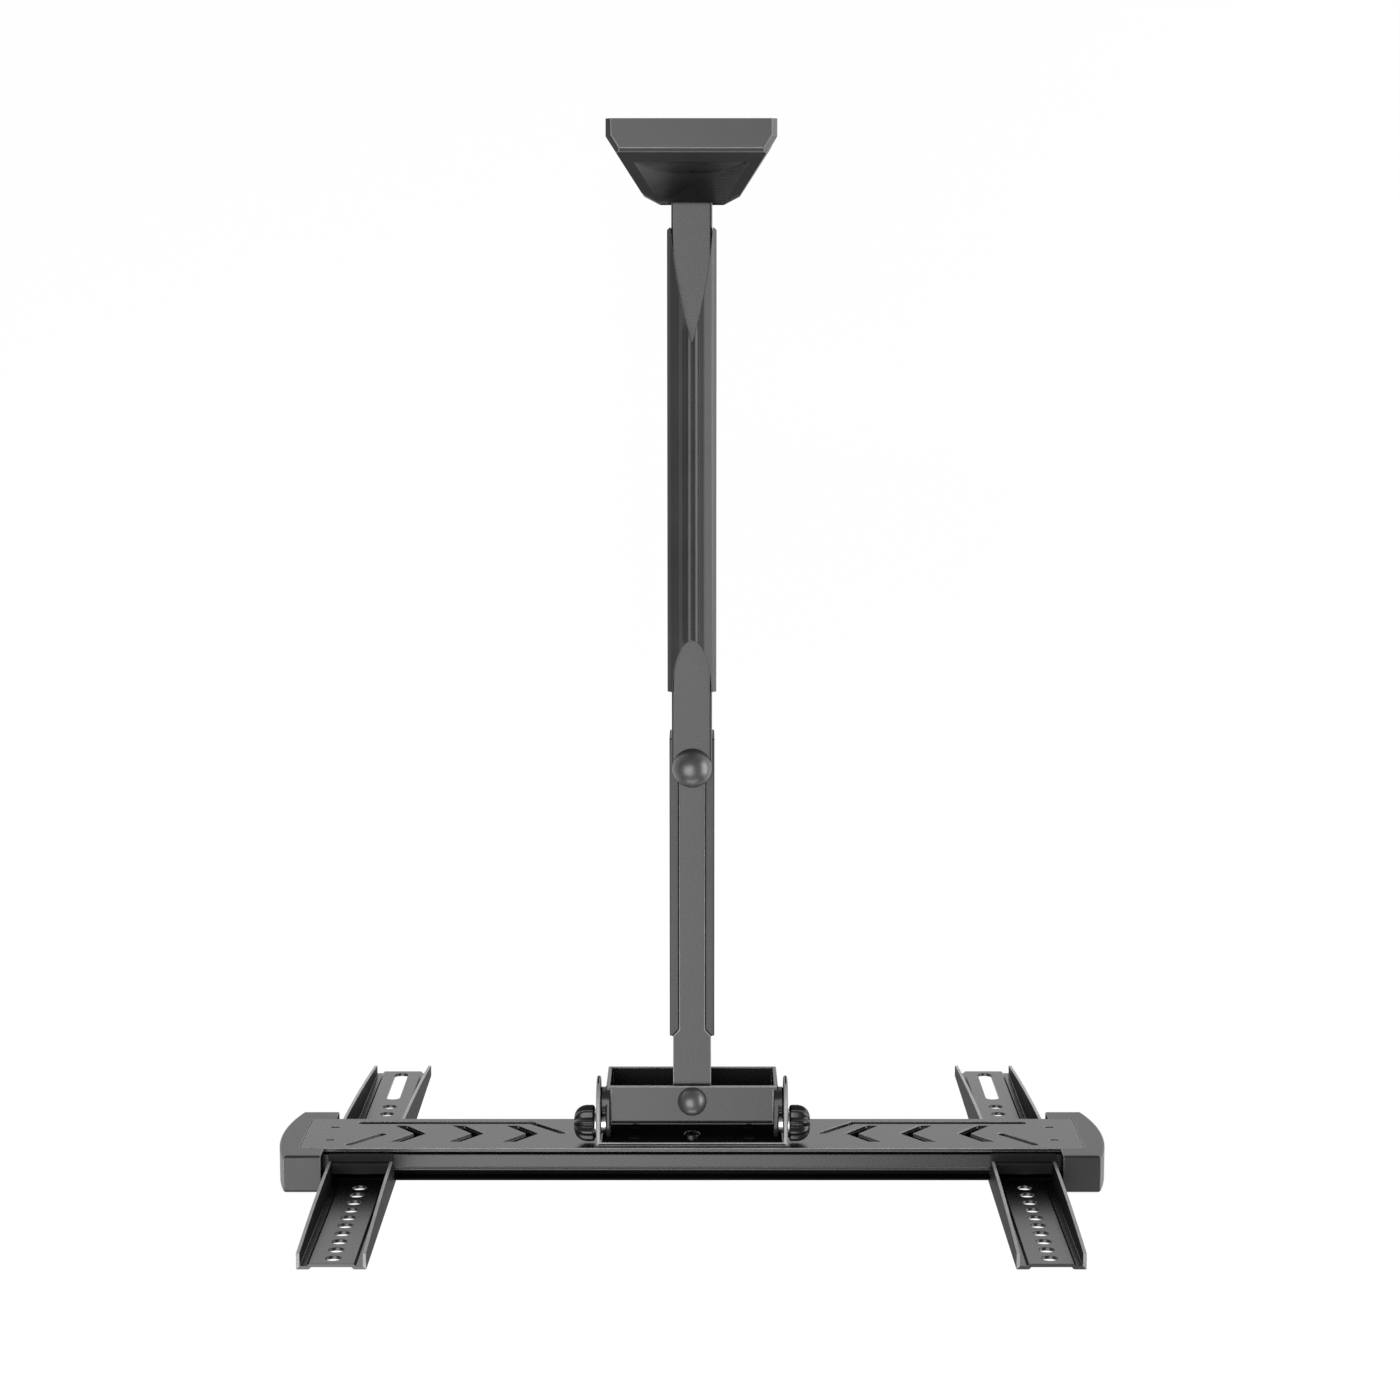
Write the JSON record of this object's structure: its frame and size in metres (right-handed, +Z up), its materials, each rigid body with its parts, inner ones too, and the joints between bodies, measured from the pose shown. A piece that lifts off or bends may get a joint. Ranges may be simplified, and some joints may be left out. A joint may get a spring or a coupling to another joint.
{
  "type": "swivel television wall mount",
  "caption": "Full-motion wall mount: a plate on the wall, a folding arm, a swivel and tilt head, and a crossbar with sliding upright rails for a screen.",
  "frame": {"origin": "centre of the wall plate's back face, at the arm's mid-height", "axes": "+Y into the wall, so that the arm reaches out along -Y; +Z up; +X to the right of someone facing the wall"},
  "size_m": [0.504, 0.6336, 0.42],
  "materials": {
    "powder_coated_steel": "satin black-grey powder coat",
    "rail_steel": "satin black powder coat",
    "moulded_abs": "fine spark texture",
    "cap_abs": "satin moulded",
    "knob_nylon": "matt moulded",
    "nylon": "moulded",
    "zinc_plated_steel": "bright zinc plate",
    "black_steel": "black oxide"
  },
  "bodies": {
    "wall_bracket": {"wall_plate": "powder_coated_steel", "wall_hinge_bracket": "powder_coated_steel", "upper_wall_cover": "moulded_abs", "lower_wall_cover": "moulded_abs", "wall_pivot_bolt": "zinc_plated_steel", "wall_pivot_nut": "zinc_plated_steel"},
    "rear_arm": {"wall_pivot_bushes": "nylon", "rear_arm_tube": "powder_coated_steel", "rear_arm_upper_cover": "moulded_abs", "rear_arm_lower_cover": "moulded_abs", "elbow_bolt": "zinc_plated_steel", "elbow_nut": "zinc_plated_steel", "elbow_cap": "cap_abs"},
    "front_arm": {"elbow_bushes": "nylon", "front_arm_tube": "powder_coated_steel", "head_bushes": "nylon", "left_front_arm_trim": "moulded_abs", "right_front_arm_trim": "moulded_abs"},
    "swivel_head": {"swivel_bracket": "powder_coated_steel", "head_bolt": "zinc_plated_steel", "head_nut": "zinc_plated_steel", "head_cap": "cap_abs", "left_tilt_stud": "zinc_plated_steel", "left_tilt_spacer": "zinc_plated_steel", "left_knob_washer": "zinc_plated_steel", "right_tilt_stud": "zinc_plated_steel", "right_tilt_spacer": "zinc_plated_steel", "right_knob_washer": "zinc_plated_steel"},
    "display_frame": {"tilt_bracket": "powder_coated_steel", "bracket_rivets": "black_steel", "level_screw": "black_steel", "level_nut": "zinc_plated_steel", "crossbar": "powder_coated_steel", "left_end_cap": "moulded_abs", "right_end_cap": "moulded_abs"},
    "left_knob": {"left_tilt_knob": "knob_nylon"},
    "left_rail": {"left_rail": "rail_steel", "left_lock_bracket": "rail_steel", "left_lock_rivets": "zinc_plated_steel", "left_lock_screw": "black_steel", "left_slide_pad": "nylon"},
    "right_knob": {"right_tilt_knob": "knob_nylon"},
    "right_rail": {"right_rail": "rail_steel", "right_lock_bracket": "rail_steel", "right_lock_rivets": "zinc_plated_steel", "right_lock_screw": "black_steel", "right_slide_pad": "nylon"}
  },
  "joints": [
    {"name": "wall_swivel", "type": "hinge", "parent": "wall_bracket", "child": "rear_arm", "pos_m": [0, -0.028, 0], "axis": [0, 0, 1], "range_deg": [-90, 90]},
    {"name": "elbow", "type": "hinge", "parent": "rear_arm", "child": "front_arm", "pos_m": [0, -0.378, 0], "axis": [0, 0, -1], "range_deg": [-120, 120]},
    {"name": "head_swivel", "type": "hinge", "parent": "front_arm", "child": "swivel_head", "pos_m": [0, -0.5825, 0], "axis": [0, 0, 1], "range_deg": [-60, 60]},
    {"name": "tilt", "type": "hinge", "parent": "swivel_head", "child": "display_frame", "pos_m": [0, -0.597, 0.02], "axis": [1, 0, 0], "range_deg": [-5, 15]},
    {"name": "left_knob_turn", "type": "hinge", "parent": "swivel_head", "child": "left_knob", "pos_m": [-0.065, -0.597, 0.02], "axis": [-1, 0, 0], "range_deg": [0, 360]},
    {"name": "right_knob_turn", "type": "hinge", "parent": "swivel_head", "child": "right_knob", "pos_m": [0.065, -0.597, 0.02], "axis": [1, 0, 0], "range_deg": [0, 360]},
    {"name": "left_rail_slide", "type": "slide", "parent": "display_frame", "child": "left_rail", "axis": [1, 0, 0], "range_m": [0, 0.15]},
    {"name": "right_rail_slide", "type": "slide", "parent": "display_frame", "child": "right_rail", "axis": [-1, 0, 0], "range_m": [0, 0.15]}
  ]
}
